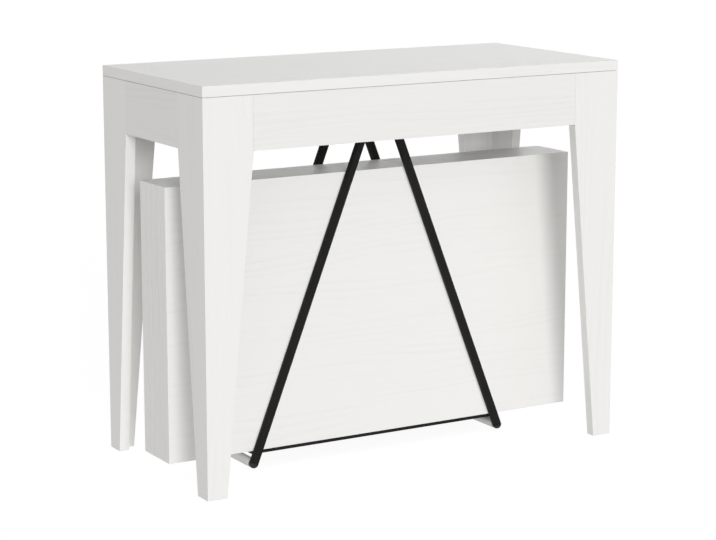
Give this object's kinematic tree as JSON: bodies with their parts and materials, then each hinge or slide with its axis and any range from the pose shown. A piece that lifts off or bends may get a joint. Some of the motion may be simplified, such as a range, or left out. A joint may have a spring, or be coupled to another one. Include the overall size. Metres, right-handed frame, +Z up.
{
  "type": "extending console table",
  "caption": "Slim white console table with tapered angle legs; its front frame pulls out on telescopic rails, and a black steel rack under the top stores extension leaves on edge.",
  "frame": {"origin": "on the floor under the centre of the closed table", "axes": "+X along the width to the right as seen from the front, +Y towards the back, +Z up; the front frame pulls out along -Y"},
  "size_m": [0.9, 0.42, 0.75],
  "materials": {
    "white_board": "white wood-grain melamine board, satin",
    "black_steel": "matte black powder coat",
    "rail_aluminium": "satin anodised extrusion",
    "grey_steel": "light grey powder coat",
    "zinc_steel": "bright zinc plate",
    "black_plastic": "moulded black plastic",
    "pale_plastic": "moulded pale plastic"
  },
  "bodies": {
    "base": {"table_top": "white_board", "rear_left_leg_face_board": "white_board", "rear_left_leg_side_board": "white_board", "rear_right_leg_face_board": "white_board", "rear_right_leg_side_board": "white_board", "rear_apron": "white_board", "left_apron": "white_board", "right_apron": "white_board", "fixed_rails": "rail_aluminium", "rail_packers": "black_plastic", "rear_corner_angles": "zinc_steel", "top_angles": "zinc_steel", "rear_glides": "pale_plastic"},
    "stage_01": {"stage_01_rails": "rail_aluminium", "stage_01_cross_bar": "rail_aluminium"},
    "stage_02": {"stage_02_rails": "rail_aluminium", "stage_02_cross_bar": "rail_aluminium"},
    "stage_03": {"stage_03_rails": "rail_aluminium", "stage_03_cross_bar": "rail_aluminium"},
    "stage_04": {"stage_04_rails": "rail_aluminium", "stage_04_cross_bar": "rail_aluminium"},
    "stage_05": {"stage_05_rails": "rail_aluminium", "stage_05_cross_bars": "rail_aluminium", "rack_front_left_tube": "black_steel", "rack_front_right_tube": "black_steel", "rack_rear_left_tube": "black_steel", "rack_rear_right_tube": "black_steel", "rack_foot_caps": "black_plastic", "rack_left_bearer": "grey_steel", "rack_right_bearer": "grey_steel", "rack_tray": "black_steel", "rack_front_head_plate": "black_steel", "rack_rear_head_plate": "black_steel"},
    "stage_06": {"stage_06_rails": "rail_aluminium", "stage_06_cross_bar": "rail_aluminium"},
    "stage_07": {"stage_07_rails": "rail_aluminium", "stage_07_cross_bar": "rail_aluminium"},
    "stage_08": {"stage_08_rails": "rail_aluminium", "stage_08_cross_bar": "rail_aluminium"},
    "stage_09": {"stage_09_rails": "rail_aluminium", "stage_09_cross_bar": "rail_aluminium"},
    "front_frame": {"front_left_leg_face_board": "white_board", "front_left_leg_side_board": "white_board", "front_right_leg_face_board": "white_board", "front_right_leg_side_board": "white_board", "front_apron": "white_board", "front_rails": "rail_aluminium", "front_corner_angles": "zinc_steel", "front_rail_angles": "zinc_steel", "front_glides": "pale_plastic"},
    "leaf_1": {"leaf_1": "white_board"},
    "leaf_2": {"leaf_2": "white_board"},
    "leaf_3": {"leaf_3": "white_board"},
    "leaf_4": {"leaf_4": "white_board"},
    "leaf_5": {"leaf_5": "white_board"}
  },
  "joints": [
    {"name": "stage_01_slide", "type": "slide", "parent": "base", "child": "stage_01", "axis": [0, -1, 0], "range_m": [0, 0.26]},
    {"name": "stage_02_slide", "type": "slide", "parent": "stage_01", "child": "stage_02", "axis": [0, -1, 0], "range_m": [0, 0.26]},
    {"name": "stage_03_slide", "type": "slide", "parent": "stage_02", "child": "stage_03", "axis": [0, -1, 0], "range_m": [0, 0.26]},
    {"name": "stage_04_slide", "type": "slide", "parent": "stage_03", "child": "stage_04", "axis": [0, -1, 0], "range_m": [0, 0.26]},
    {"name": "stage_05_slide", "type": "slide", "parent": "stage_04", "child": "stage_05", "axis": [0, -1, 0], "range_m": [0, 0.26]},
    {"name": "stage_06_slide", "type": "slide", "parent": "stage_05", "child": "stage_06", "axis": [0, -1, 0], "range_m": [0, 0.26]},
    {"name": "stage_07_slide", "type": "slide", "parent": "stage_06", "child": "stage_07", "axis": [0, -1, 0], "range_m": [0, 0.26]},
    {"name": "stage_08_slide", "type": "slide", "parent": "stage_07", "child": "stage_08", "axis": [0, -1, 0], "range_m": [0, 0.26]},
    {"name": "stage_09_slide", "type": "slide", "parent": "stage_08", "child": "stage_09", "axis": [0, -1, 0], "range_m": [0, 0.26]},
    {"name": "front_frame_slide", "type": "slide", "parent": "stage_09", "child": "front_frame", "axis": [0, -1, 0], "range_m": [0, 0.26]},
    {"name": "leaf_1_slide", "type": "slide", "parent": "stage_05", "child": "leaf_1", "axis": [-1, 0, 0], "range_m": [0, 0.92]},
    {"name": "leaf_2_slide", "type": "slide", "parent": "stage_05", "child": "leaf_2", "axis": [-1, 0, 0], "range_m": [0, 0.92]},
    {"name": "leaf_3_slide", "type": "slide", "parent": "stage_05", "child": "leaf_3", "axis": [-1, 0, 0], "range_m": [0, 0.92]},
    {"name": "leaf_4_slide", "type": "slide", "parent": "stage_05", "child": "leaf_4", "axis": [-1, 0, 0], "range_m": [0, 0.92]},
    {"name": "leaf_5_slide", "type": "slide", "parent": "stage_05", "child": "leaf_5", "axis": [-1, 0, 0], "range_m": [0, 0.92]}
  ],
  "couplings": [
    {"joint": "stage_02_slide", "follows": "stage_01_slide", "ratio": 1},
    {"joint": "stage_03_slide", "follows": "stage_01_slide", "ratio": 1},
    {"joint": "stage_04_slide", "follows": "stage_01_slide", "ratio": 1},
    {"joint": "stage_05_slide", "follows": "stage_01_slide", "ratio": 1},
    {"joint": "stage_06_slide", "follows": "stage_01_slide", "ratio": 1},
    {"joint": "stage_07_slide", "follows": "stage_01_slide", "ratio": 1},
    {"joint": "stage_08_slide", "follows": "stage_01_slide", "ratio": 1},
    {"joint": "stage_09_slide", "follows": "stage_01_slide", "ratio": 1},
    {"joint": "front_frame_slide", "follows": "stage_01_slide", "ratio": 1}
  ]
}
